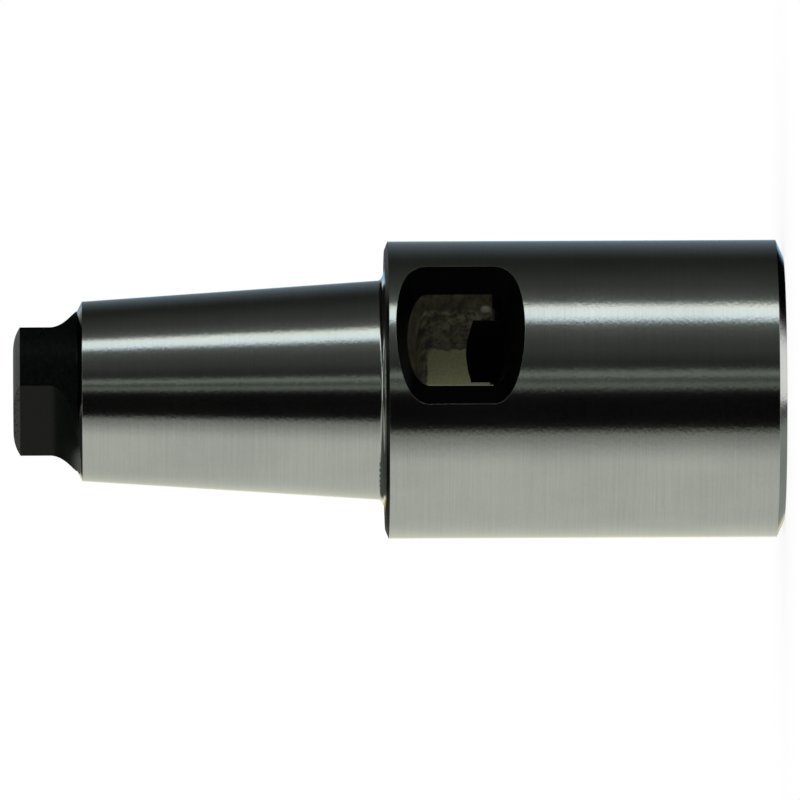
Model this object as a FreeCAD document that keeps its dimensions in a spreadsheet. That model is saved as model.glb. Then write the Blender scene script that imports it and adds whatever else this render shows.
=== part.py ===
import FreeCAD, Part
import math
import os
import re
import Sketcher

# A Morse taper sleeve, turned and milled from one bar of steel.
#
# +Z runs along the sleeve's axis. z = 0 is the face around the socket's mouth, and the tang is
# at the top. The drift slot runs right through the body along Y. All lengths are millimetres.

SIZES = {
    # socket: the taper that the tool's shank seats in, open at z = 0
    "socket_mouth_diameter": 31.27,
    "socket_mouth_chamfer": 0.6,
    "socket_relief": 1.0,  # from the end of the taper to the near end of the slot
    "drill_diameter": 24.2,  # straight hole beyond the taper, which clears the tool's tang
    "drill_setback": 2.03,  # from the end of the straight hole to the middle of the slot
    "drill_point_length": 1.8,
    # body: the plain cylinder around the socket and the slot
    "wall_thickness": 5.85,  # around the mouth of the socket
    "body_length": 57.65,
    "mouth_chamfer_length": 1.1,
    "mouth_chamfer_depth": 2.45,
    "shoulder_chamfer_length": 0.5,
    "shoulder_chamfer_depth": 1.25,
    # shank: the taper that fits the machine's spindle
    "taper_rate": 0.1335,  # loss of diameter per unit of length, on the shank and in the socket
    "shank_root_diameter": 31.8,  # at the plane of the shoulder
    "shank_length": 43.68,
    "root_fillet_length": 0.95,
    "root_fillet_depth": 2.05,
    "end_chamfer_length": 0.73,
    "end_chamfer_depth": 1.42,
    # tang: the flat tongue at the top
    "tang_length": 9.97,
    "tang_thickness": 9.6,
    "tang_turn": 3.6,  # angle in degrees from the slot's direction to the tang's width
    "runout_length": 4.7,
    "runout_depth": 11.5,
    "crown_face_diameter": 11.2,
    "crown_drop": 1.0,
    "centre_hole_diameter": 4.2,
    "centre_pilot_diameter": 2.0,
    "centre_pilot_length": 1.6,
    "centre_cone_angle": 60.0,
    # slot: the drift slot, with rounded ends and two steps of chamfer on both mouths
    "slot_setback": 10.72,  # from the shoulder down to the middle of the slot
    "slot_width": 12.2,
    "slot_straight_length": 9.4,
    "slot_end_length": 1.8,  # each rounded end, along the sleeve
    "slot_lip_width": 1.1,  # steep inner chamfer, all round the slot
    "slot_lip_depth": 2.4,
    "slot_flank_width": 3.75,  # outer chamfer on each long side, across the slot
    "slot_flank_drop": 1.6,
    "slot_end_chamfer": 1.67,  # outer chamfer at each end, along the sleeve
    # tools: how far each cut runs on past the metal
    "cut_overrun": 1.0,
}

# Places worked out from the sizes, written as expressions of the sheet.
BODY_RADIUS = "(socket_mouth_diameter / 2 + wall_thickness)"
SHOULDER_HEIGHT = f"({BODY_RADIUS} - shank_root_diameter / 2)"
FILLET_DEPTH = f"min(root_fillet_depth; 0.55 * {SHOULDER_HEIGHT})"
SHOULDER_CHAMFER = f"min(shoulder_chamfer_depth; 0.3 * {SHOULDER_HEIGHT})"
SHANK_TOP = "(body_length + shank_length)"
SHANK_TOP_RADIUS = "(shank_root_diameter / 2 - taper_rate / 2 * shank_length)"
FILLET_TOP_RADIUS = "(shank_root_diameter / 2 - taper_rate / 2 * root_fillet_length)"
TANG_RADIUS = f"({SHANK_TOP_RADIUS} - end_chamfer_depth)"
TOP = f"({SHANK_TOP} + tang_length)"
RUNOUT_START = f"({TOP} - tang_length + runout_length)"
RUNOUT_SIDE = "(tang_thickness / 2 + runout_depth)"
SLOT_MIDDLE = "(body_length - slot_setback)"
SLOT_HALF_LENGTH = "(slot_straight_length / 2 + slot_end_length)"
TAPER_TOP = f"({SLOT_MIDDLE} - {SLOT_HALF_LENGTH} - socket_relief)"
TAPER_TOP_RADIUS = f"(socket_mouth_diameter / 2 - taper_rate / 2 * {TAPER_TOP})"
DRILL_TOP = f"({SLOT_MIDDLE} - drill_setback)"
LIP_HALF_WIDTH = "(slot_width / 2 + slot_lip_width)"
LIP_END_LENGTH = "(slot_end_length + slot_lip_width)"
FLANK_FOOT = (
    f"(sqrt({BODY_RADIUS} ^ 2 - ({LIP_HALF_WIDTH} + slot_flank_width) ^ 2) - slot_flank_drop)"
)
FLANK_RISE = f"({BODY_RADIUS} + cut_overrun - {FLANK_FOOT})"
CENTRE_CONE_LENGTH = (
    "((centre_hole_diameter - centre_pilot_diameter) / 2 / tan(centre_cone_angle / 2))"
)


def sheet_names(expression):
    """Return the expression with the sheet's name in front of each size."""
    return re.sub(r"\b([a-z]+(?:_[a-z]+)+)\b", r"Sizes.\1", expression)


def make_sheet(doc):
    """Add the spreadsheet that holds every driving size."""
    sheet = doc.addObject("Spreadsheet::Sheet", "Sizes")
    for row, (name, value) in enumerate(SIZES.items(), start=1):
        sheet.set(f"A{row}", name)
        sheet.set(f"B{row}", str(value))
        sheet.setAlias(f"B{row}", name)
    doc.recompute()


def origin_feature(body, role):
    """Return the body's own origin plane or axis that has this role."""
    for feature in body.Origin.OriginFeatures:
        if feature.Role == role:
            return feature
    raise ValueError(f"the body has no {role}")


class Outline:
    """A closed outline in a sketch on the XZ plane, whose corners follow the sheet."""

    def __init__(self, body, name):
        self.sketch = body.newObject("Sketcher::SketchObject", name)
        self.sketch.AttachmentSupport = [(origin_feature(body, "XZ_Plane"), "")]
        self.sketch.MapMode = "FlatFace"

    def place(self, corner):
        """Return the point of a corner, given as a pair of expressions."""
        across, along = (self.sketch.evalExpression(sheet_names(part)) for part in corner)
        return FreeCAD.Vector(float(across), float(along), 0)

    def hold(self, edge, end, corner, name):
        """Hold one point of an edge at its corner, by named dimensions from the origin."""
        point = self.place(corner)
        for axis, line, value, expression in zip("XY", (-2, -1), point, corner):
            if abs(value) < 1e-9:
                self.sketch.addConstraint(Sketcher.Constraint("PointOnObject", edge, end, line))
                continue
            ends = (-1, 1, edge, end) if value > 0 else (edge, end, -1, 1)
            held = Sketcher.Constraint("Distance" + axis, *ends, abs(value))
            label = f"{name}_{axis.lower()}"
            self.sketch.renameConstraint(self.sketch.addConstraint(held), label)
            signed = expression if value > 0 else f"-({expression})"
            self.sketch.setExpression(f"Constraints.{label}", sheet_names(signed))

    def add_line(self, start, end):
        """Add a straight edge and return it with its first and last points."""
        edge = self.sketch.addGeometry(Part.LineSegment(self.place(start), self.place(end)))
        return edge, 1, 2

    def add_quarter(self, start, end, centre, name):
        """Add a quarter of an ellipse that is longer across the sleeve than along it."""
        first, last, middle = self.place(start), self.place(end), self.place(centre)
        across = max(abs(first.x - middle.x), abs(last.x - middle.x))
        along = max(abs(first.y - middle.y), abs(last.y - middle.y))
        reach, rise = FreeCAD.Vector(across, 0, 0), FreeCAD.Vector(0, along, 0)
        ellipse = Part.Ellipse(middle + reach, middle + rise, middle)
        angles = [
            math.atan2((point.y - middle.y) / along, (point.x - middle.x) / across)
            for point in (first, last)
        ]
        turns_left = (angles[1] - angles[0]) % (2 * math.pi) < math.pi
        low, high = angles if turns_left else reversed(angles)
        edge = self.sketch.addGeometry(Part.ArcOfEllipse(ellipse, low, high))
        self.sketch.exposeInternalGeometry(edge)
        self.sketch.addConstraint(Sketcher.Constraint("Horizontal", edge + 1))
        self.hold(edge, 3, centre, f"{name}_middle")
        return (edge, 1, 2) if turns_left else (edge, 2, 1)

    def add_crown(self, start, end):
        """Add a round edge that runs out level at its last corner."""
        first, last = self.place(start), self.place(end)
        drop = last.y - first.y
        radius = ((first.x - last.x) ** 2 + drop**2) / (2 * drop)
        middle = last - FreeCAD.Vector(0, radius, 0)
        circle = Part.Circle(middle, FreeCAD.Vector(0, 0, 1), radius)
        low = math.atan2(first.y - middle.y, first.x - middle.x)
        edge = self.sketch.addGeometry(Part.ArcOfCircle(circle, low, math.pi / 2))
        self.sketch.addConstraint(Sketcher.Constraint("Vertical", edge, 2, edge, 3))
        return edge, 1, 2

    def draw(self, corners, quarters=None, crown=None):
        """Join the corners in order; a curve is named by the corner that it starts from."""
        names = list(corners)
        edges = []
        for name, following in zip(names, names[1:] + names[:1]):
            start, end = corners[name], corners[following]
            if quarters and name in quarters:
                edge = self.add_quarter(start, end, quarters[name], name)
            elif name == crown:
                edge = self.add_crown(start, end)
            else:
                edge = self.add_line(start, end)
            self.hold(edge[0], edge[1], start, name)
            edges.append(edge)
        for (edge, _, last), (other, first, _) in zip(edges, edges[1:] + edges[:1]):
            self.sketch.addConstraint(Sketcher.Constraint("Coincident", edge, last, other, first))
        return self.sketch


def turned_blank(body):
    """Turn the outside: body, shoulder, tapered shank and crowned end."""
    outline = Outline(body, "BlankOutline")
    sketch = outline.draw(
        {
            "foot": ("0", "0"),
            "mouth_rim": (f"{BODY_RADIUS} - mouth_chamfer_depth", "0"),
            "mouth_side": (BODY_RADIUS, "mouth_chamfer_length"),
            "shoulder_side": (BODY_RADIUS, "body_length - shoulder_chamfer_length"),
            "shoulder_rim": (f"{BODY_RADIUS} - {SHOULDER_CHAMFER}", "body_length"),
            "fillet_foot": (f"{FILLET_TOP_RADIUS} + {FILLET_DEPTH}", "body_length"),
            "fillet_top": (FILLET_TOP_RADIUS, "body_length + root_fillet_length"),
            "shank_end": (SHANK_TOP_RADIUS, SHANK_TOP),
            "tang_foot": (TANG_RADIUS, f"{SHANK_TOP} + end_chamfer_length"),
            "crown_side": (TANG_RADIUS, f"{TOP} - crown_drop"),
            "crown_face": ("crown_face_diameter / 2", TOP),
            "tip": ("0", TOP),
        },
        quarters={
            "fillet_foot": (
                f"{FILLET_TOP_RADIUS} + {FILLET_DEPTH}",
                "body_length + root_fillet_length",
            )
        },
        crown="crown_side",
    )
    blank = body.newObject("PartDesign::Revolution", "Blank")
    blank.Profile = sketch
    blank.ReferenceAxis = (sketch, ["V_Axis"])
    blank.Angle = 360


def turned_recess(body, name, corners):
    """Turn a recess whose half outline has these corners."""
    sketch = Outline(body, name + "Outline").draw(corners)
    recess = body.newObject("PartDesign::Groove", name)
    recess.Profile = sketch
    recess.ReferenceAxis = (sketch, ["V_Axis"])
    recess.Angle = 360


def bored_socket(body):
    """Bore the tapered socket, then the straight hole that breaks into the slot."""
    mouth_radius = "socket_mouth_diameter / 2"
    corners = {
        "socket_foot": ("0", "0"),
        "socket_rim": (f"{mouth_radius} + socket_mouth_chamfer", "0"),
        "socket_lip": (mouth_radius, "socket_mouth_chamfer"),
        "taper_end": (TAPER_TOP_RADIUS, TAPER_TOP),
        "drill_start": ("drill_diameter / 2", TAPER_TOP),
        "drill_end": ("drill_diameter / 2", DRILL_TOP),
        "drill_point": ("0", f"{DRILL_TOP} + drill_point_length"),
    }
    turned_recess(body, "Socket", corners)


def centre_hole(body):
    """Drill the centre hole that the tang's end is turned and ground on."""
    pilot = "centre_pilot_diameter / 2"
    cone_end = f"{TOP} - {CENTRE_CONE_LENGTH}"
    corners = {
        "centre_top": ("0", TOP),
        "centre_rim": ("centre_hole_diameter / 2", TOP),
        "cone_end": (pilot, cone_end),
        "pilot_end": (pilot, f"{cone_end} - centre_pilot_length"),
        "pilot_foot": ("0", f"{cone_end} - centre_pilot_length"),
    }
    turned_recess(body, "CentreHole", corners)


def both_sides(body, feature):
    """Repeat a cut on the opposite side of the sleeve's axis."""
    pattern = body.newObject("PartDesign::PolarPattern", feature.Name + "BothSides")
    pattern.Originals = [feature]
    pattern.Axis = (origin_feature(body, "Z_Axis"), [""])
    pattern.Angle = 360
    pattern.Occurrences = 2
    body.Tip = pattern


def milled_through(body, name, sketch):
    """Mill a sketched outline right through the sleeve, both ways from its plane."""
    cut = body.newObject("PartDesign::Pocket", name)
    cut.Profile = sketch
    cut.SideType = "Symmetric"
    cut.Type = "ThroughAll"
    return cut


def milled_tang(body):
    """Mill the tang's two flats, each sweeping out through the shank's small end."""
    outline = Outline(body, "TangOutline")
    outline.sketch.AttachmentOffset = FreeCAD.Placement(
        FreeCAD.Vector(0, 0, 0), FreeCAD.Rotation(FreeCAD.Vector(0, 1, 0), SIZES["tang_turn"])
    )
    outline.sketch.setExpression("AttachmentOffset.Rotation.Angle", "Sizes.tang_turn")
    sketch = outline.draw(
        {
            "flat_top": ("tang_thickness / 2", f"{TOP} + cut_overrun"),
            "flat_end": ("tang_thickness / 2", RUNOUT_START),
            "runout_end": (RUNOUT_SIDE, SHANK_TOP),
            "outside_top": (RUNOUT_SIDE, f"{TOP} + cut_overrun"),
        },
        quarters={"flat_end": (RUNOUT_SIDE, RUNOUT_START)},
    )
    both_sides(body, milled_through(body, "TangFlat", sketch))


def slot_outline(body, name, half_width, end_length):
    """Sketch a slot with two straight sides and two elliptical ends."""
    near = f"{SLOT_MIDDLE} - slot_straight_length / 2"
    far = f"{SLOT_MIDDLE} + slot_straight_length / 2"
    outline = Outline(body, name)
    outline.draw(
        {
            "right_near": (half_width, near),
            "right_far": (half_width, far),
            "far_end": ("0", f"{far} + {end_length}"),
            "left_far": (f"-({half_width})", far),
            "left_near": (f"-({half_width})", near),
            "near_end": ("0", f"{near} - {end_length}"),
        },
        quarters={
            "right_far": ("0", far),
            "far_end": ("0", far),
            "left_near": ("0", near),
            "near_end": ("0", near),
        },
    )
    return outline.sketch


def milled_slot(body):
    """Mill the drift slot through the body and chamfer both of its mouths in two steps."""
    wall = slot_outline(body, "SlotOutline", "slot_width / 2", "slot_end_length")
    milled_through(body, "Slot", wall)
    flank = f"({LIP_HALF_WIDTH} + slot_flank_width / slot_flank_drop * {FLANK_RISE})"
    end_slope = f"slot_end_chamfer / ({BODY_RADIUS} - {FLANK_FOOT})"
    end_length = f"({LIP_END_LENGTH} + {end_slope} * {FLANK_RISE})"
    throat = slot_outline(body, "MouthThroat", "slot_width / 2", "slot_end_length")
    foot = slot_outline(body, "MouthFoot", LIP_HALF_WIDTH, LIP_END_LENGTH)
    brim = slot_outline(body, "MouthBrim", flank, end_length)
    heights = (f"{FLANK_FOOT} - slot_lip_depth", FLANK_FOOT, f"{BODY_RADIUS} + cut_overrun")
    for sketch, height in zip((throat, foot, brim), heights):
        sketch.setExpression("AttachmentOffset.Base.z", sheet_names(height))
    mouth = body.newObject("PartDesign::SubtractiveLoft", "SlotMouth")
    mouth.Profile = throat
    mouth.Sections = [foot, brim]
    mouth.Ruled = True
    both_sides(body, mouth)


def make_sleeve(doc):
    """Make the sleeve as one body, in the order in which a shop would cut it."""
    body = doc.addObject("PartDesign::Body", "Sleeve")
    body.Label = "sleeve"
    body.Placement = FreeCAD.Placement()
    turned_blank(body)
    bored_socket(body)
    milled_slot(body)
    milled_tang(body)
    centre_hole(body)
    return body


def check(doc, body):
    """Stop if any object failed or the sleeve isn't one valid solid."""
    for item in doc.Objects:
        if "Invalid" in item.State or "Error" in item.State:
            raise RuntimeError(f"{item.Name} failed: {item.State}")
    shape = body.Shape
    if shape.isNull() or not shape.isValid() or len(shape.Solids) != 1:
        raise RuntimeError("the sleeve isn't one valid solid")


def main():
    doc = FreeCAD.newDocument("MorseTaperSleeve")
    make_sheet(doc)
    body = make_sleeve(doc)
    doc.recompute()
    check(doc, body)
    os.makedirs("parts", exist_ok=True)
    body.Shape.exportStep(f"parts/{body.Label}.step")


main()
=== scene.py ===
import logging
import math
from dataclasses import dataclass, field
from enum import Enum

import bmesh
import bpy
from mathutils import Matrix, Vector

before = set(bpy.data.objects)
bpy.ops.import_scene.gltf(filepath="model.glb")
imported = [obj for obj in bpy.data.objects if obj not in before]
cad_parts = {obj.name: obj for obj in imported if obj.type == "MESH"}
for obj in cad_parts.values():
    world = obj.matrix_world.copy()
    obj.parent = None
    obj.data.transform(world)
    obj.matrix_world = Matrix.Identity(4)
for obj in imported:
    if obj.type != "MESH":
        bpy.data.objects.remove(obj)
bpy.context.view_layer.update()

LOG = logging.getLogger("sleeve")
MM = 0.001
FACING = 25.2
Colour = tuple[float, float, float]
Span = tuple[float, float]

FACTOR = 0
NUMBER_A, NUMBER_B, NUMBER_RESULT = 2, 3, 0
VECTOR_A, VECTOR_B, VECTOR_RESULT = 4, 5, 1
COLOUR_A, COLOUR_B, COLOUR_RESULT = 6, 7, 2


class Zone(Enum):
    """The areas that differ from the plain ground steel; the slot's end is painted black as shade
    within the oxide, the slot's walls carry painted light and shade, and the bore is painted near
    black as shade.
    """

    OXIDE = "oxide"
    RAW = "raw"
    BORE = "bore"


@dataclass(frozen=True)
class SleeveSizes:
    """Sizes that tell one machined surface of the sleeve from the next, in metres."""

    body_length: float = 57.65 * MM
    shoulder_chamfer_start: float = 57.15 * MM
    shoulder_chamfer_foot: float = 20.235 * MM
    shank_root_radius: float = 15.9 * MM
    shank_top: float = 101.33 * MM
    shank_top_radius: float = 12.984 * MM
    taper_slope: float = 0.06675
    tang_top: float = 111.3 * MM
    end_chamfer_length: float = 0.73 * MM
    end_chamfer_depth: float = 1.42 * MM
    slot_middle: float = 46.93 * MM
    slot_reach: float = 9.6 * MM
    slot_half_straight: float = 4.7 * MM
    slot_throat: float = 14.486 * MM
    slot_chamfer_foot: float = 16.886 * MM
    drill_radius: float = 12.1 * MM
    drill_point: float = 46.7 * MM
    drill_point_length: float = 1.8 * MM


@dataclass(frozen=True)
class ZoneLimits:
    """How near and how square a point has to be to count as part of a machined surface."""

    slack: float = 0.02 * MM
    edge_slack: float = 0.05 * MM
    ring_slack: float = 0.07 * MM
    bore_slack: float = 0.06 * MM
    point_slack: float = 0.12 * MM
    round_facing: float = 0.985
    slot_facing: float = 0.95
    shoulder_facing: float = 0.9
    round_inset: float = 4.5 * MM
    bore_start: float = 20.0 * MM
    slot_start: float = 38.5 * MM


@dataclass(frozen=True)
class Signal:
    """A number that varies over a surface, as the output of a shader node."""

    tree: bpy.types.NodeTree
    socket: bpy.types.NodeSocket

    def math(self, operation: str, *others: "Signal | float") -> "Signal":
        """Feed this signal and others into a Math node.

        Args:
            operation: the Math node's operation.
            others: the node's further inputs.

        Returns:
            The node's result.
        """
        node = self.tree.nodes.new("ShaderNodeMath")
        node.operation = operation
        self.tree.links.new(self.socket, node.inputs[0])
        for index, other in enumerate(others, start=1):
            if isinstance(other, Signal):
                self.tree.links.new(other.socket, node.inputs[index])
            else:
                node.inputs[index].default_value = other
        return Signal(self.tree, node.outputs[0])

    def __add__(self, other: "Signal | float") -> "Signal":
        """Return the sum."""
        return self.math("ADD", other)

    def __sub__(self, other: "Signal | float") -> "Signal":
        """Return the difference."""
        return self.math("SUBTRACT", other)

    def __mul__(self, other: "Signal | float") -> "Signal":
        """Return the product."""
        return self.math("MULTIPLY", other)

    def __truediv__(self, other: "Signal | float") -> "Signal":
        """Return the quotient."""
        return self.math("DIVIDE", other)

    def square(self) -> "Signal":
        """Return the square."""
        return self * self

    def absolute(self) -> "Signal":
        """Return the magnitude."""
        return self.math("ABSOLUTE")

    def invert(self) -> "Signal":
        """Return one less this signal."""
        return (self * -1.0) + 1.0

    def ramp(self, low: float, high: float, smooth: bool = True) -> "Signal":
        """Rise from 0 at one value of the signal to 1 at another.

        Args:
            low: the value that gives 0, which may lie above high.
            high: the value that gives 1.
            smooth: whether the rise is eased at both ends.

        Returns:
            The mask.
        """
        node = self.tree.nodes.new("ShaderNodeMapRange")
        node.interpolation_type = "SMOOTHSTEP" if smooth else "LINEAR"
        backwards = low > high
        values = (high, low, 1.0, 0.0) if backwards else (low, high, 0.0, 1.0)
        for name, value in zip(("From Min", "From Max", "To Min", "To Max"), values):
            node.inputs[name].default_value = value
        self.tree.links.new(self.socket, node.inputs["Value"])
        return Signal(self.tree, node.outputs[0])


@dataclass(frozen=True)
class Place:
    """Where a shaded point lies on the sleeve, and how its surface faces."""

    x: Signal
    y: Signal
    z: Signal
    radius: Signal
    outward: Signal
    upward: Signal

    @classmethod
    def read(cls, tree: bpy.types.NodeTree) -> "Place":
        """Read Object coordinates and the true normal.

        Args:
            tree: the node tree that needs them.

        Returns:
            The signals, in metres, from the sleeve's axis and its foot.
        """
        point = tree.nodes.new("ShaderNodeTexCoord").outputs["Object"]
        split = tree.nodes.new("ShaderNodeSeparateXYZ")
        tree.links.new(point, split.inputs[0])
        x, y, z = (Signal(tree, socket) for socket in split.outputs)
        radius = (x.square() + y.square()).math("SQRT").math("MAXIMUM", 1e-6)
        normal = tree.nodes.new("ShaderNodeSeparateXYZ")
        geometry = tree.nodes.new("ShaderNodeNewGeometry")
        tree.links.new(geometry.outputs["True Normal"], normal.inputs[0])
        across, along, upward = (Signal(tree, socket) for socket in normal.outputs)
        outward = (x * across + y * along) / radius
        return cls(x, y, z, radius, outward, upward)


class NodeGroup:
    """A shader node group with named inputs and outputs."""

    def __init__(self, name: str, inputs: dict[str, float], outputs: tuple[str, ...]) -> None:
        """Make the group's tree and sockets.

        Args:
            name: the group's name.
            inputs: each input's name and default value.
            outputs: the names of the outputs, each a number.
        """
        self.tree = bpy.data.node_groups.new(name, "ShaderNodeTree")
        for label, value in inputs.items():
            socket = self.tree.interface.new_socket(
                name=label, in_out="INPUT", socket_type="NodeSocketFloat"
            )
            socket.default_value = value
        for label in outputs:
            self.tree.interface.new_socket(
                name=label, in_out="OUTPUT", socket_type="NodeSocketFloat"
            )
        self.given = self.tree.nodes.new("NodeGroupInput")
        self.result = self.tree.nodes.new("NodeGroupOutput")

    def take(self, label: str) -> Signal:
        """Return the signal of a named input."""
        return Signal(self.tree, self.given.outputs[label])

    def give(self, label: str, signal: Signal) -> None:
        """Send a signal to a named output."""
        self.tree.links.new(signal.socket, self.result.inputs[label])

    def place_in(self, tree: bpy.types.NodeTree, **values: float) -> dict[str, Signal]:
        """Place the group in a material.

        Args:
            tree: the material's node tree.
            values: values for the named inputs, with underscores for spaces.

        Returns:
            The outputs by name.
        """
        node = tree.nodes.new("ShaderNodeGroup")
        node.node_tree = self.tree
        for label, value in values.items():
            node.inputs[label.replace("_", " ")].default_value = value
        return {socket.name: Signal(tree, socket) for socket in node.outputs}


def noise(
    tree: bpy.types.NodeTree,
    vector: bpy.types.NodeSocket,
    scale: float,
    detail: float = 2.0,
    roughness: float = 0.5,
) -> Signal:
    """Add a noise texture.

    Args:
        tree: the node tree to work in.
        vector: the coordinates that the noise follows.
        scale: how many features lie along one unit of the coordinates.
        detail: the number of finer layers.
        roughness: the strength of the finer layers.

    Returns:
        The noise, between 0 and 1.
    """
    node = tree.nodes.new("ShaderNodeTexNoise")
    node.inputs["Scale"].default_value = scale
    node.inputs["Detail"].default_value = detail
    node.inputs["Roughness"].default_value = roughness
    tree.links.new(vector, node.inputs["Vector"])
    return Signal(tree, node.outputs["Fac"])


def wrapped(place: Place, around: float, along: float) -> bpy.types.NodeSocket:
    """Stretch coordinates round the sleeve, for marks left by turning and grinding.

    Args:
        place: the shaded point.
        around: the scale round the sleeve, in features per metre.
        along: the scale along the sleeve, in features per metre.

    Returns:
        The vector output of the stretched coordinates.
    """
    tree = place.x.tree
    node = tree.nodes.new("ShaderNodeCombineXYZ")
    for index, signal in enumerate((place.x * around, place.y * around, place.z * along)):
        tree.links.new(signal.socket, node.inputs[index])
    return node.outputs[0]


def zone_group(sizes: SleeveSizes, limits: ZoneLimits) -> NodeGroup:
    """Build the masks of the machined surfaces.

    Args:
        sizes: where one surface ends and the next begins.
        limits: how closely a point has to lie on a surface.

    Returns:
        A group with one mask for each zone, and one for each smaller area with its own tone, among
        them a light area and glints painted into the slot.
    """
    areas = ("side", "shank", "ring", "crown", "painted_light_patch", "lip", "slot", "glint")
    group = NodeGroup("sleeve_zones", {}, tuple(zone.value for zone in Zone) + areas)
    place = Place.read(group.tree)
    slack = limits.slack
    above_body = place.z.math("GREATER_THAN", sizes.body_length + slack)
    above_shank = place.z.math("GREATER_THAN", sizes.shank_top + slack)
    outer = place.radius.math("GREATER_THAN", sizes.shank_root_radius - limits.round_inset)
    side = place.outward.math("GREATER_THAN", limits.round_facing) * outer * above_shank.invert()
    ring_slope = -sizes.end_chamfer_depth / sizes.end_chamfer_length
    cone_radius = (place.z - sizes.shank_top) * ring_slope + sizes.shank_top_radius
    ring = (
        (place.radius - cone_radius).absolute().math("LESS_THAN", limits.ring_slack)
        * above_shank
        * place.z.math("LESS_THAN", sizes.shank_top + sizes.end_chamfer_length + slack)
    )
    shoulder = (
        place.z.math("GREATER_THAN", sizes.shoulder_chamfer_start - slack)
        * place.z.math("LESS_THAN", sizes.body_length + slack)
        * place.radius.math("GREATER_THAN", sizes.shoulder_chamfer_foot - limits.edge_slack)
        * place.outward.math("LESS_THAN", limits.shoulder_facing)
    )
    near_slot = (place.z - sizes.slot_middle).absolute().math("LESS_THAN", sizes.slot_reach)
    depth = place.y.absolute()
    slot_chamfer = (
        near_slot
        * depth.math("GREATER_THAN", sizes.slot_chamfer_foot - slack)
        * place.outward.math("LESS_THAN", limits.slot_facing)
    )
    point_slope = -sizes.drill_radius / sizes.drill_point_length
    point_radius = (place.z - sizes.drill_point) * point_slope + limits.point_slack
    bore = (
        place.radius.math("LESS_THAN", sizes.drill_radius + limits.bore_slack)
        * (place.radius - point_radius).math("LESS_THAN", 0.0)
        * place.z.math("LESS_THAN", sizes.drill_point)
        * place.z.math("GREATER_THAN", limits.bore_start)
    )
    inside = (
        near_slot
        * depth.math("LESS_THAN", sizes.slot_chamfer_foot - slack)
        * place.outward.math("LESS_THAN", limits.slot_facing)
        * bore.invert()
        * place.z.math("GREATER_THAN", limits.slot_start)
    )
    past_middle = place.z - sizes.slot_middle
    # Painted shade: the slot's inside toward the mouth, past its straight walls, is painted black
    # and counted with the oxide.
    painted_shade_end = inside * past_middle.math("LESS_THAN", -sizes.slot_half_straight)
    wall = inside * painted_shade_end.invert()
    side_of = place.x * place.y / place.x.absolute().math("MAXIMUM", MM)
    ragged = noise(group.tree, wrapped(place, 420.0, 900.0), 1.0, detail=4.0) * (5.0 * MM)
    # Painted light: the far half of the slot's wall, short of its end toward the tang, is painted
    # light as if lit through the slot; the rest of the wall stays darker as painted shade.
    far_half = (side_of + ragged).ramp(1.6 * MM, 2.6 * MM)
    painted_light_patch = wall * far_half * (past_middle + ragged * 0.12).ramp(4.9 * MM, 4.5 * MM)
    straight = past_middle.absolute().math("LESS_THAN", sizes.slot_half_straight)
    # Painted glints: a bright line along the slot's lower inner edge and a pale spot beside the
    # bore.
    foot_distance = (depth - sizes.slot_chamfer_foot).absolute()
    foot_edge = foot_distance.math("LESS_THAN", limits.edge_slack)
    lower_edge = near_slot * straight * foot_edge * side_of.math("GREATER_THAN", 0.0)
    glint_spot = (
        ((past_middle + 3.75 * MM) / (0.9 * MM)).square()
        + ((depth - sizes.slot_throat + 0.5 * MM) / (1.1 * MM)).square()
    ).ramp(1.2, 0.1) * side_of.math("LESS_THAN", 0.0)
    lip = wall * depth.ramp(sizes.slot_throat - 1.5 * MM, sizes.slot_throat)
    near_top = place.z.ramp(sizes.tang_top - 1.05 * MM, sizes.tang_top - 0.9 * MM)
    crown = near_top * place.outward.ramp(0.2, 0.5)
    tang = above_shank * ring.invert()
    # The oxide mask holds the black oxide of the tang, shoulder chamfer and slot chamfer, and also
    # the slot's end painted black as shade.
    oxide = (tang + shoulder + slot_chamfer + painted_shade_end).math("MINIMUM", 1.0)
    group.give("crown", crown)
    group.give("painted_light_patch", painted_light_patch)
    group.give("lip", lip)
    group.give("slot", (slot_chamfer + painted_shade_end).math("MINIMUM", 1.0))
    group.give("glint", (lower_edge + glint_spot * wall).math("MINIMUM", 1.0))
    group.give(Zone.OXIDE.value, oxide)
    group.give(Zone.RAW.value, wall)
    group.give(Zone.BORE.value, bore)
    group.give("side", side)
    group.give("shank", above_body)
    group.give("ring", ring)
    return group


def grinding_group() -> NodeGroup:
    """Build the fine rings and frosted grain that a grinding wheel leaves.

    Returns:
        A group whose height drives a bump and whose tone varies the colour.
    """
    group = NodeGroup("grinding", {"Rings": 0.5, "Grain": 0.5}, ("Height", "Tone"))
    place = Place.read(group.tree)
    rings = noise(group.tree, wrapped(place, 60.0, 4200.0), 1.0, detail=3.0, roughness=0.65)
    grain = noise(group.tree, wrapped(place, 1500.0, 2600.0), 1.0, detail=2.0, roughness=0.6)
    cloud = noise(group.tree, wrapped(place, 90.0, 60.0), 1.0, detail=3.0, roughness=0.55)
    height = rings * group.take("Rings") + grain * group.take("Grain") * (cloud + 0.5)
    group.give("Height", height)
    group.give("Tone", rings * 0.35 + grain * 0.15 + cloud * 0.5)
    return group


def stain_group() -> NodeGroup:
    """Build blotches of dried oil and oxide.

    Returns:
        A group whose mask covers a share of the surface.
    """
    group = NodeGroup("stains", {"Scale": 200.0, "Spread": 0.5}, ("Mask", "Fine"))
    place = Place.read(group.tree)
    scaled = group.tree.nodes.new("ShaderNodeVectorMath")
    scaled.operation = "SCALE"
    group.tree.links.new(wrapped(place, 0.45, 1.0), scaled.inputs[0])
    group.tree.links.new(group.take("Scale").socket, scaled.inputs["Scale"])
    blotch = noise(group.tree, scaled.outputs[0], 1.0, detail=5.0, roughness=0.65)
    fine = noise(group.tree, scaled.outputs[0], 4.0, detail=3.0, roughness=0.7)
    group.give("Mask", (blotch + group.take("Spread") - 1.0).ramp(-0.15, 0.15))
    group.give("Fine", fine)
    return group


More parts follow.
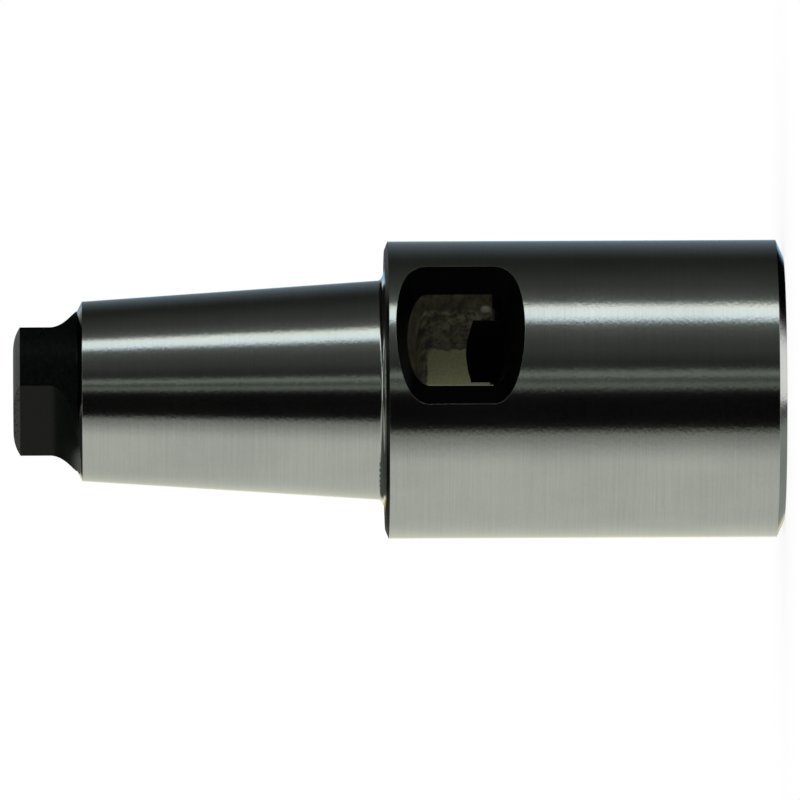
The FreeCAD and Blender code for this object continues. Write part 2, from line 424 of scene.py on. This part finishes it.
def mix_colour(
    mask: Signal,
    low: "bpy.types.NodeSocket | Colour",
    high: "bpy.types.NodeSocket | Colour",
    blend: str = "MIX",
) -> bpy.types.NodeSocket:
    """Mix two colours by a mask.

    Args:
        mask: how much of the second colour shows.
        low: the first colour, as a socket or three numbers.
        high: the second colour, as a socket or three numbers.
        blend: the Mix node's blend type.

    Returns:
        The mixed colour's output.
    """
    tree = mask.tree
    node = tree.nodes.new("ShaderNodeMix")
    node.data_type = "RGBA"
    node.blend_type = blend
    tree.links.new(mask.socket, node.inputs[FACTOR])
    for index, colour in ((COLOUR_A, low), (COLOUR_B, high)):
        if isinstance(colour, bpy.types.NodeSocket):
            tree.links.new(colour, node.inputs[index])
        else:
            node.inputs[index].default_value = (*colour, 1.0)
    return node.outputs[COLOUR_RESULT]


def mix_number(mask: Signal, low: "Signal | float", high: "Signal | float") -> Signal:
    """Mix two numbers by a mask.

    Args:
        mask: how much of the second number shows.
        low: the first number.
        high: the second number.

    Returns:
        The mixed number.
    """
    node = mask.tree.nodes.new("ShaderNodeMix")
    node.data_type = "FLOAT"
    mask.tree.links.new(mask.socket, node.inputs[FACTOR])
    for index, value in ((NUMBER_A, low), (NUMBER_B, high)):
        if isinstance(value, Signal):
            mask.tree.links.new(value.socket, node.inputs[index])
        else:
            node.inputs[index].default_value = value
    return Signal(mask.tree, node.outputs[NUMBER_RESULT])


@dataclass(frozen=True)
class SleeveSteel:
    """The sleeve's steel: ground outside, black on the tang and chamfers, raw in the slot, with
    painted light, shade and glints in the slot and the bore painted near black as shade.
    """

    name: str = "sleeve_steel"
    ground_dark: Colour = (0.535, 0.55, 0.525)
    ground_light: Colour = (0.64, 0.65, 0.615)
    oxide_dark: Colour = (0.0013, 0.0017, 0.0016)
    oxide_light: Colour = (0.0045, 0.006, 0.0048)
    slot_black: Colour = (0.0008, 0.0009, 0.0009)
    end_ring: Colour = (0.06, 0.058, 0.055)
    worn_edge: Colour = (0.42, 0.43, 0.40)
    raw_painted_light: Colour = (0.45, 0.46, 0.22)
    raw_middle: Colour = (0.16, 0.155, 0.088)
    raw_dark: Colour = (0.02, 0.019, 0.012)
    painted_glint: Colour = (0.22, 0.215, 0.19)
    painted_bore_shade: Colour = (0.003, 0.003, 0.003)
    ground_roughness: Span = (0.1, 0.15)
    oxide_roughness: float = 0.4
    raw_roughness: float = 0.6
    specular: float = 0.05
    edge_radius: float = 0.09 * MM
    grain_height: float = 0.015 * MM
    sizes: SleeveSizes = field(default_factory=SleeveSizes)
    limits: ZoneLimits = field(default_factory=ZoneLimits)

    def build(self) -> bpy.types.Material:
        """Make the material.

        Returns:
            A material whose zones follow the sleeve's machined surfaces.
        """
        material = bpy.data.materials.new(self.name)
        material.use_nodes = True
        tree = material.node_tree
        shader = tree.nodes["Principled BSDF"]
        place = Place.read(tree)
        zones = zone_group(self.sizes, self.limits).place_in(tree)
        ground = grinding_group().place_in(tree, Rings=0.08, Grain=0.75)
        stains = stain_group().place_in(tree, Scale=900.0, Spread=0.5)
        oxide, raw, bore = (zones[zone.value] for zone in (Zone.OXIDE, Zone.RAW, Zone.BORE))
        colour = mix_colour(ground["Tone"].ramp(0.3, 0.7), self.ground_dark, self.ground_light)
        black = mix_colour(stains["Fine"].ramp(0.35, 0.75), self.oxide_dark, self.oxide_light)
        crown = zones["crown"] * stains["Fine"].ramp(0.3, 0.5)
        black = mix_colour(crown * 0.12, black, self.worn_edge)
        # The slot's chamfer and its end painted black as shade take an even darker black.
        black = mix_colour(zones["slot"], black, self.slot_black)
        colour = mix_colour(zones["ring"], colour, self.end_ring)
        colour = mix_colour(oxide, colour, black)
        colour = mix_colour(raw, colour, self.raw_colour(zones, stains))
        # Painted glints on the slot's lower inner edge and beside the bore.
        colour = mix_colour(zones["glint"], colour, self.painted_glint)
        # Painted shade: the drilled bore behind the slot is painted near black.
        colour = mix_colour(bore, colour, self.painted_bore_shade)
        tree.links.new(colour, shader.inputs["Base Color"])
        metal = (oxide * (crown * -0.9 + 1.0) + raw + bore).math("MINIMUM", 1.0).invert()
        tree.links.new(metal.socket, shader.inputs["Metallic"])
        roughness = mix_number(ground["Tone"], *self.ground_roughness)
        roughness = mix_number(oxide, roughness, self.oxide_roughness)
        roughness = mix_number(raw, roughness, self.raw_roughness)
        roughness = mix_number(bore, roughness, self.raw_roughness)
        tree.links.new(roughness.socket, shader.inputs["Roughness"])
        shader.inputs["Specular IOR Level"].default_value = self.specular
        self.shape_normal(tree, shader, place, zones, ground["Height"])
        return material

    def raw_colour(
        self, zones: dict[str, Signal], stains: dict[str, Signal]
    ) -> bpy.types.NodeSocket:
        """Mottle the slot's raw walls, darker on the lip, and paint light on a smooth area in
        their far half; the darker rest of the walls is painted shade.

        Args:
            zones: the masks of the machined surfaces.
            stains: the masks of dried oil and oxide.

        Returns:
            The colour's output.
        """
        # Painted shade: outside the lit area the walls take darker mottled colours.
        blotches = mix_colour(stains["Mask"], self.raw_middle, self.raw_dark)
        blotches = mix_colour(zones["lip"] * 0.8, blotches, self.raw_dark)
        lit_spots = mix_colour(stains["Fine"].ramp(0.35, 0.75) * 0.5, self.raw_painted_light, self.raw_middle)
        return mix_colour(zones["painted_light_patch"], blotches, lit_spots)

    def shape_normal(
        self,
        tree: bpy.types.NodeTree,
        shader: bpy.types.Node,
        place: Place,
        zones: dict[str, Signal],
        height: Signal,
    ) -> None:
        """Give the round sides true round normals, then break edges and add the grain.

        Args:
            tree: the material's node tree.
            shader: the shader that takes the normal.
            place: the shaded point.
            zones: the masks of the machined surfaces.
            height: the height of the grain.
        """
        lean = place.radius * self.sizes.taper_slope * zones["shank"]
        round_side = tree.nodes.new("ShaderNodeCombineXYZ")
        for index, signal in enumerate((place.x, place.y, lean)):
            tree.links.new(signal.socket, round_side.inputs[index])
        unit = tree.nodes.new("ShaderNodeVectorMath")
        unit.operation = "NORMALIZE"
        tree.links.new(round_side.outputs[0], unit.inputs[0])
        pick = tree.nodes.new("ShaderNodeMix")
        pick.data_type = "VECTOR"
        tree.links.new(zones["side"].socket, pick.inputs[FACTOR])
        facing = tree.nodes.new("ShaderNodeNewGeometry")
        tree.links.new(facing.outputs["Normal"], pick.inputs[VECTOR_A])
        tree.links.new(unit.outputs[0], pick.inputs[VECTOR_B])
        bevel = tree.nodes.new("ShaderNodeBevel")
        bevel.samples = 6
        bevel.inputs["Radius"].default_value = self.edge_radius
        tree.links.new(pick.outputs[VECTOR_RESULT], bevel.inputs["Normal"])
        bump = tree.nodes.new("ShaderNodeBump")
        bump.inputs["Strength"].default_value = 1.0
        bump.inputs["Distance"].default_value = self.grain_height
        tree.links.new(height.socket, bump.inputs["Height"])
        tree.links.new(bevel.outputs[0], bump.inputs["Normal"])
        tree.links.new(bump.outputs[0], shader.inputs["Normal"])


@dataclass(frozen=True)
class Gap:
    """An opening between the dark cards round the sleeve, as a span of bearings in degrees."""

    start: float
    end: float
    start_blur: float
    end_blur: float
    brightness: float
    tint: Colour = (0.93, 1.02, 0.93)

    def mask(self, bearing: Signal) -> Signal:
        """Return how far the opening shows at a bearing."""
        rise = bearing.ramp(self.start - self.start_blur, self.start + self.start_blur)
        return rise * bearing.ramp(self.end + self.end_blur, self.end - self.end_blur)


@dataclass(frozen=True)
class EndCard:
    """A card beyond one end of the sleeve, with a bright window, for steel that faces along it."""

    along: Span
    away: Span
    edge: Span
    glow: Colour
    window_start: Span
    window_end: Span
    window_colour: Colour
    window_depth: Span | None = None

    def cover(
        self,
        light: bpy.types.NodeSocket,
        dark: Colour,
        directions: tuple[Signal, Signal, Signal],
    ) -> bpy.types.NodeSocket:
        """Hold the card before the light.

        Args:
            light: the light without the card.
            dark: the card's colour.
            directions: how far a ray runs to the right, away, and out past the sleeve's end.

        Returns:
            The light with the card before it.
        """
        right, away, out = directions
        window = right.ramp(*self.window_start) * right.ramp(*self.window_end)
        if self.window_depth:
            window = window * out.ramp(*self.window_depth)
        colour = mix_colour(right.ramp(*self.edge), dark, self.glow)
        colour = mix_colour(window, colour, self.window_colour)
        return mix_colour(out.ramp(*self.along) * away.ramp(*self.away), light, colour)


@dataclass(frozen=True)
class Studio:
    """The pale floor and the white surroundings, with dark cards that the steel mirrors."""

    facing: float = FACING
    floor_radius: float = 2.4
    shadow_reach: float = 60.0 * MM
    shadow: Colour = (0.86, 0.86, 0.87)
    soft_light: float = 0.8
    card: Colour = (0.0008, 0.001, 0.0009)
    gaps: tuple[Gap, ...] = (
        Gap(62.0, 68.9, 4.0, 3.4, 1.12, (0.95, 1.0, 0.96)),
        Gap(54.8, 62.0, 3.6, 4.0, 1.12, (0.86, 1.0, 1.08)),
        Gap(45.0, 77.0, 10.0, 12.0, 0.06, (0.93, 1.0, 1.0)),
        Gap(22.0, 97.0, 16.0, 22.0, 0.055),
        Gap(95.0, 150.0, 25.0, 20.0, 0.02),
        Gap(0.0, 15.5, 5.0, 5.0, 0.04),
        Gap(0.5, 5.0, 2.0, 2.0, 0.13),
        Gap(9.0, 14.0, 2.0, 2.0, 0.18),
        Gap(-177.0, -33.0, 2.0, 3.5, 0.19, (0.98, 1.02, 0.93)),
        Gap(-177.0, -46.0, 2.0, 17.0, 0.385, (0.98, 1.0, 0.94)),
        Gap(-177.0, -142.0, 2.0, 25.0, 0.12, (1.05, 1.0, 0.6)),
        Gap(-179.0, -170.0, 1.0, 8.0, 0.3, (1.2, 1.0, 0.4)),
        Gap(154.0, 179.0, 36.0, 1.0, 0.3, (0.75, 0.95, 1.15)),
        Gap(170.0, 179.0, 8.0, 1.0, 0.35, (0.3, 0.8, 1.3)),
    )
    tang_card: EndCard = EndCard(
        along=(0.18, 0.3),
        away=(-0.3, 0.1),
        edge=(-0.08, -0.2),
        glow=(0.07, 0.08, 0.07),
        window_start=(-0.13, -0.04),
        window_end=(0.24, 0.12),
        window_colour=(0.85, 0.88, 0.85),
    )
    mouth_card: EndCard = EndCard(
        along=(0.16, 0.27),
        away=(0.3, 0.5),
        edge=(-0.05, -0.09),
        glow=(0.26, 0.28, 0.26),
        window_start=(-0.04, -0.02),
        window_end=(0.14, 0.09),
        window_colour=(1.0, 1.0, 1.0),
        window_depth=(0.58, 0.68),
    )

    def build(self) -> None:
        """Make the floor and the surroundings."""
        self.make_floor()
        self.make_surroundings()

    def make_floor(self) -> None:
        """Lay a pale floor under the sleeve that glows white to the camera, with the sleeve's
        shadow painted into the glow from ambient occlusion.
        """
        mesh = bpy.data.meshes.new("floor")
        shape = bmesh.new()
        bmesh.ops.create_grid(shape, x_segments=1, y_segments=1, size=self.floor_radius)
        shape.to_mesh(mesh)
        shape.free()
        floor = bpy.data.objects.new("floor", mesh)
        bpy.context.collection.objects.link(floor)
        material = bpy.data.materials.new("floor_white")
        material.use_nodes = True
        tree = material.node_tree
        tree.nodes.clear()
        paint = tree.nodes.new("ShaderNodeBsdfDiffuse")
        paint.inputs["Color"].default_value = (0.9, 0.9, 0.9, 1.0)
        shade = tree.nodes.new("ShaderNodeAmbientOcclusion")
        shade.inputs["Distance"].default_value = self.shadow_reach
        glow = tree.nodes.new("ShaderNodeEmission")
        # Painted shadow: ambient occlusion darkens the floor's glow near the sleeve.
        shadow = Signal(tree, shade.outputs["AO"]).ramp(0.0, 1.0, smooth=False)
        tint = mix_colour(shadow, self.shadow, (1.0, 1.0, 1.0))
        tree.links.new(tint, glow.inputs["Color"])
        path = tree.nodes.new("ShaderNodeLightPath")
        seen = Signal(tree, path.outputs["Is Camera Ray"])
        for kind in ("Is Glossy Ray", "Is Transmission Ray"):
            seen = seen.math("MAXIMUM", Signal(tree, path.outputs[kind]))
        mix = tree.nodes.new("ShaderNodeMixShader")
        tree.links.new(seen.socket, mix.inputs[0])
        tree.links.new(paint.outputs[0], mix.inputs[1])
        tree.links.new(glow.outputs[0], mix.inputs[2])
        output = tree.nodes.new("ShaderNodeOutputMaterial")
        tree.links.new(mix.outputs[0], output.inputs["Surface"])
        mesh.materials.append(material)
        floor.visible_glossy = False

    def make_surroundings(self) -> None:
        """Surround the sleeve with white, and hold dark cards before it that the steel mirrors."""
        world = bpy.data.worlds.new("studio")
        world.use_nodes = True
        bpy.context.scene.world = world
        tree = world.node_tree
        tree.nodes.clear()
        path = tree.nodes.new("ShaderNodeLightPath")
        open_white = Signal(tree, path.outputs["Is Camera Ray"]).math(
            "MAXIMUM", Signal(tree, path.outputs["Is Transmission Ray"])
        )
        glossy = Signal(tree, path.outputs["Is Glossy Ray"])
        soft = (self.soft_light,) * 3
        shown = mix_colour(glossy, soft, self.mirrored_light(tree))
        shown = mix_colour(open_white, shown, (1.0, 1.0, 1.0))
        background = tree.nodes.new("ShaderNodeBackground")
        tree.links.new(shown, background.inputs["Color"])
        output = tree.nodes.new("ShaderNodeOutputWorld")
        tree.links.new(background.outputs[0], output.inputs["Surface"])

    def mirrored_light(self, tree: bpy.types.NodeTree) -> bpy.types.NodeSocket:
        """Work out how much of the white shows between the cards, in each direction.

        Args:
            tree: the world's node tree.

        Returns:
            The colour that a glossy ray meets.
        """
        ray = tree.nodes.new("ShaderNodeTexCoord").outputs["Generated"]
        turn = tree.nodes.new("ShaderNodeVectorRotate")
        turn.rotation_type = "Z_AXIS"
        turn.inputs["Angle"].default_value = math.radians(self.facing)
        tree.links.new(ray, turn.inputs["Vector"])
        split = tree.nodes.new("ShaderNodeSeparateXYZ")
        tree.links.new(turn.outputs[0], split.inputs[0])
        right, away, up = (Signal(tree, socket) for socket in split.outputs)
        bearing = right.math("ARCTAN2", away * -1.0) * math.degrees(1.0)
        light = self.card
        for gap in self.gaps:
            lit = tuple(part * gap.brightness for part in gap.tint)
            light = mix_colour(gap.mask(bearing), light, lit, "ADD")
        light = self.tang_card.cover(light, self.card, (right, away, up))
        return self.mouth_card.cover(light, self.card, (right, away, up * -1.0))


@dataclass(frozen=True)
class LongLens:
    """A far camera that looks across the lying sleeve, with the tang to its left."""

    facing: float = FACING
    distance: float = 3.3
    height: float = 100.9 * MM
    target_height: float = 55.42 * MM
    target_drop: float = 1.44 * MM
    frame_width: float = 115.6 * MM
    roll: float = -0.26

    def build(self) -> None:
        """Make the scene's camera."""
        data = bpy.data.cameras.new("camera")
        data.sensor_width = 36.0
        turn = math.radians(self.facing)
        toward = Vector((-math.sin(turn), -math.cos(turn), 0.0))
        up = Vector((math.cos(turn), -math.sin(turn), 0.0))
        target = Vector((0.0, 0.0, self.target_height)) - up * self.target_drop
        eye = Vector((0.0, 0.0, self.height)) + toward * self.distance - up * self.target_drop
        back = (eye - target).normalized()
        reach = (eye - target).length
        data.lens = data.sensor_width * reach / self.frame_width
        data.clip_start, data.clip_end = 0.1, 20.0
        right = up.cross(back).normalized()
        basis = Matrix((right, back.cross(right), back)).transposed()
        camera = bpy.data.objects.new("camera", data)
        camera.rotation_mode = "QUATERNION"
        camera.location = eye
        roll = Matrix.Rotation(math.radians(self.roll), 3, "Z").to_quaternion()
        camera.rotation_quaternion = basis.to_quaternion() @ roll
        bpy.context.collection.objects.link(camera)
        bpy.context.scene.camera = camera


@dataclass
class Sleeve:
    """The sleeve itself, whose solid is dressed in its steel."""

    node: str = "sleeve"
    steel: SleeveSteel = field(default_factory=SleeveSteel)

    def dress(self) -> bpy.types.Object:
        """Give the solid its material.

        Returns:
            The dressed object.
        """
        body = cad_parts[self.node]
        material = self.steel.build()
        for slot in body.material_slots:
            slot.material = material
        return body


def main() -> None:
    """Build the studio, the camera and the dressed sleeve."""
    logging.basicConfig(level=logging.INFO, format="%(name)s: %(message)s")
    bpy.context.scene.view_settings.view_transform = "Standard"
    LongLens().build()
    Studio().build()
    sleeve = Sleeve().dress()
    LOG.info("dressed %s with %d faces", sleeve.name, len(sleeve.data.polygons))


if __name__ == "__main__":
    main()
